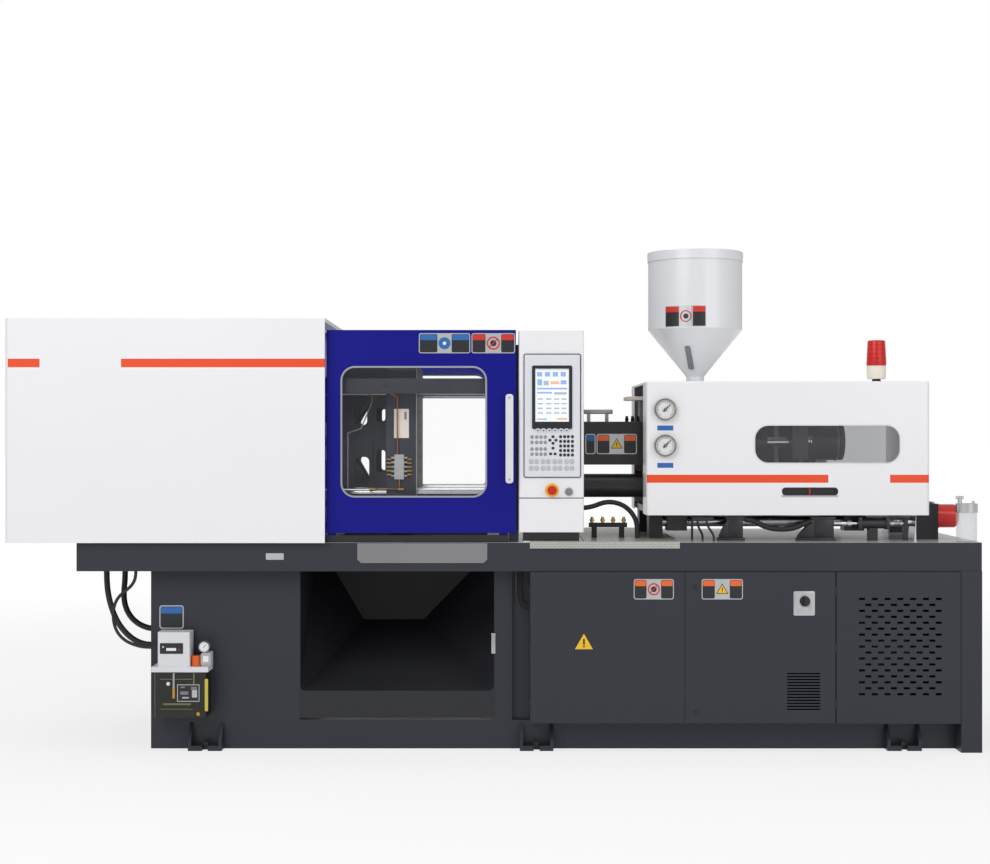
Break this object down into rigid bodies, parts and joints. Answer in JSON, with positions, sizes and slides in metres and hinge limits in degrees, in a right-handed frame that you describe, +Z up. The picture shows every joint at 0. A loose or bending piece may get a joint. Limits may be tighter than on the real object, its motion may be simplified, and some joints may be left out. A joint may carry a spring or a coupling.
{
  "type": "injection moulding machine",
  "caption": "Horizontal plastic injection moulding machine with toggle clamp, sliding guard door, hopper and bed cabinets.",
  "frame": {"origin": "centre of the base outline on the floor", "axes": "+X from the clamp end to the hopper end, +Y away from the operator, +Z up"},
  "size_m": [4.214, 1.1, 2.212],
  "materials": {
    "slate_paint": "satin powder coat",
    "white_paint": "semi-gloss powder coat",
    "blue_paint": "semi-gloss powder coat",
    "grey_paint": "satin paint",
    "black_paint": "satin paint",
    "cast_platen": "machined and oiled",
    "machined_steel": "ground",
    "chromed_steel": "hard chrome",
    "tread_metal": "bright tread plate",
    "clear_pane": "clear polycarbonate",
    "handle_white": "smooth",
    "panel_cream": "fine satin",
    "hopper_white": "semi-gloss",
    "red_plastic": "smooth",
    "red_lens": "translucent",
    "grey_plastic": "fine grain",
    "black_plastic": "fine grain",
    "hose_rubber": "smooth cover",
    "brass_fittings": "bright",
    "oil_tank": "translucent with oil",
    "pump_white": "moulded",
    "strainer_bowl": "clear",
    "red_paint": "gloss",
    "gauge_case": "polished"
  },
  "bodies": {
    "root": {"upper_frame": "slate_paint", "lower_frame": "slate_paint", "cabinet_casing": "slate_paint", "discharge_chute": "slate_paint", "apron_plate": "grey_paint", "tread_plate": "tread_metal", "vent_panel": "slate_paint", "switchgear": "grey_plastic", "pump_unit": "grey_paint", "clamp_front_cover": "white_paint", "clamp_rear_cover": "white_paint", "tail_platen": "cast_platen", "stationary_platen": "cast_platen", "tie_bars": "chromed_steel", "clamp_cylinder": "black_paint", "control_housing": "white_paint", "control_panel": "panel_cream", "door_tracks": "slate_paint", "lube_tank": "oil_tank", "lube_pump": "pump_white", "water_manifold": "brass_fittings", "carriage_rails": "machined_steel", "return_filter": "red_paint", "water_strainer": "strainer_bowl", "clamp_hose_front": "hose_rubber", "clamp_hose_back": "hose_rubber", "lube_cable": "hose_rubber", "deck_hose": "hose_rubber"},
    "front_door": {"front_door": "blue_paint", "front_window": "clear_pane", "front_handle": "handle_white"},
    "rear_door": {"rear_door": "blue_paint", "rear_window": "clear_pane"},
    "cabinet_door_left": {"cabinet_door_left": "slate_paint"},
    "cabinet_door_right": {"cabinet_door_right": "slate_paint"},
    "switch_knob": {"switch_knob": "black_plastic"},
    "moving_platen": {"moving_platen": "cast_platen", "lube_distributor": "grey_paint"},
    "ejector": {"ejector": "machined_steel"},
    "crosshead": {"crosshead": "machined_steel"},
    "rear_link_upper": {"rear_link_upper": "cast_platen"},
    "rear_link_lower": {"rear_link_lower": "cast_platen"},
    "front_link_upper": {"front_link_upper": "cast_platen"},
    "front_link_lower": {"front_link_lower": "cast_platen"},
    "cross_link_upper": {"cross_link_upper": "machined_steel"},
    "cross_link_lower": {"cross_link_lower": "machined_steel"},
    "carriage": {"carriage_base": "black_paint", "barrel": "machined_steel", "barrel_guard": "black_paint", "injection_cover": "white_paint", "hopper": "hopper_white", "hopper_lid": "hopper_white", "pressure_gauges": "gauge_case", "beacon": "red_lens"},
    "needle_upper": {"needle_upper": "black_plastic"},
    "needle_lower": {"needle_lower": "black_plastic"},
    "injection_drive": {"drive_plate": "cast_platen"},
    "screw": {"screw": "chromed_steel"},
    "estop_button": {"estop_button": "red_plastic"},
    "start_button": {"start_button": "grey_plastic"}
  },
  "joints": [
    {"name": "front_door_slide", "type": "slide", "parent": "root", "child": "front_door", "axis": [-1, 0, 0], "range_m": [0, 0.62]},
    {"name": "rear_door_slide", "type": "slide", "parent": "root", "child": "rear_door", "axis": [-1, 0, 0], "range_m": [0, 0.62]},
    {"name": "cabinet_door_left_swing", "type": "hinge", "parent": "root", "child": "cabinet_door_left", "pos_m": [0.157, -0.525, 0.45], "axis": [0, 0, -1], "range_deg": [0, 110]},
    {"name": "cabinet_door_right_swing", "type": "hinge", "parent": "root", "child": "cabinet_door_right", "pos_m": [1.474, -0.525, 0.45], "axis": [0, 0, 1], "range_deg": [0, 110]},
    {"name": "main_switch_turn", "type": "hinge", "parent": "cabinet_door_right", "child": "switch_knob", "pos_m": [1.342, -0.525, 0.654], "axis": [0, 1, 0], "range_deg": [0, 90]},
    {"name": "clamp_slide", "type": "slide", "parent": "root", "child": "moving_platen", "axis": [1, 0, 0], "range_m": [0, 0.28]},
    {"name": "ejector_slide", "type": "slide", "parent": "moving_platen", "child": "ejector", "axis": [1, 0, 0], "range_m": [0, 0.07]},
    {"name": "crosshead_slide", "type": "slide", "parent": "root", "child": "crosshead", "axis": [1, 0, 0], "range_m": [0, 0.21504]},
    {"name": "rear_link_upper_swing", "type": "hinge", "parent": "root", "child": "rear_link_upper", "pos_m": [-0.83923, 0, 1.64], "axis": [0, -1, 0], "range_deg": [0, 57.09]},
    {"name": "rear_link_lower_swing", "type": "hinge", "parent": "root", "child": "rear_link_lower", "pos_m": [-0.83923, 0, 1.04], "axis": [0, 1, 0], "range_deg": [0, 57.09]},
    {"name": "front_link_upper_swing", "type": "hinge", "parent": "moving_platen", "child": "front_link_upper", "pos_m": [-0.56, 0, 1.64], "axis": [0, 1, 0], "range_deg": [0, 57.09]},
    {"name": "front_link_lower_swing", "type": "hinge", "parent": "moving_platen", "child": "front_link_lower", "pos_m": [-0.56, 0, 1.04], "axis": [0, -1, 0], "range_deg": [0, 57.09]},
    {"name": "cross_link_upper_swing", "type": "hinge", "parent": "crosshead", "child": "cross_link_upper", "pos_m": [-0.9552, 0, 1.435], "axis": [0, -1, 0], "range_deg": [0, 53]},
    {"name": "cross_link_lower_swing", "type": "hinge", "parent": "crosshead", "child": "cross_link_lower", "pos_m": [-0.9552, 0, 1.245], "axis": [0, 1, 0], "range_deg": [0, 53]},
    {"name": "carriage_slide", "type": "slide", "parent": "root", "child": "carriage", "axis": [1, 0, 0], "range_m": [0, 0.2]},
    {"name": "injection_slide", "type": "slide", "parent": "carriage", "child": "injection_drive", "axis": [1, 0, 0], "range_m": [-0.09, 0.09]},
    {"name": "screw_spin", "type": "hinge", "parent": "injection_drive", "child": "screw", "pos_m": [1.4, 0, 1.34], "axis": [1, 0, 0], "continuous": true},
    {"name": "upper_gauge_turn", "type": "hinge", "parent": "carriage", "child": "needle_upper", "pos_m": [0.751, -0.417, 1.4834], "axis": [0, 1, 0], "range_deg": [-180, 90]},
    {"name": "lower_gauge_turn", "type": "hinge", "parent": "carriage", "child": "needle_lower", "pos_m": [0.751, -0.417, 1.3249], "axis": [0, 1, 0], "range_deg": [-180, 90]},
    {"name": "estop_press", "type": "slide", "parent": "root", "child": "estop_button", "axis": [0, 1, 0], "range_m": [0, 0.006], "stiffness_N_per_m": 1500},
    {"name": "start_press", "type": "slide", "parent": "root", "child": "start_button", "axis": [0, 1, 0], "range_m": [0, 0.004], "stiffness_N_per_m": 1200}
  ],
  "couplings": [
    {"joint": "crosshead_slide", "follows": "clamp_slide", "ratio": 0.768},
    {"joint": "rear_link_upper_swing", "follows": "clamp_slide", "rad_per_m": 3.5586},
    {"joint": "rear_link_lower_swing", "follows": "clamp_slide", "rad_per_m": 3.5586},
    {"joint": "front_link_upper_swing", "follows": "clamp_slide", "rad_per_m": 3.5586},
    {"joint": "front_link_lower_swing", "follows": "clamp_slide", "rad_per_m": 3.5586},
    {"joint": "cross_link_upper_swing", "follows": "clamp_slide", "rad_per_m": 3.3038},
    {"joint": "cross_link_lower_swing", "follows": "clamp_slide", "rad_per_m": 3.3038}
  ]
}
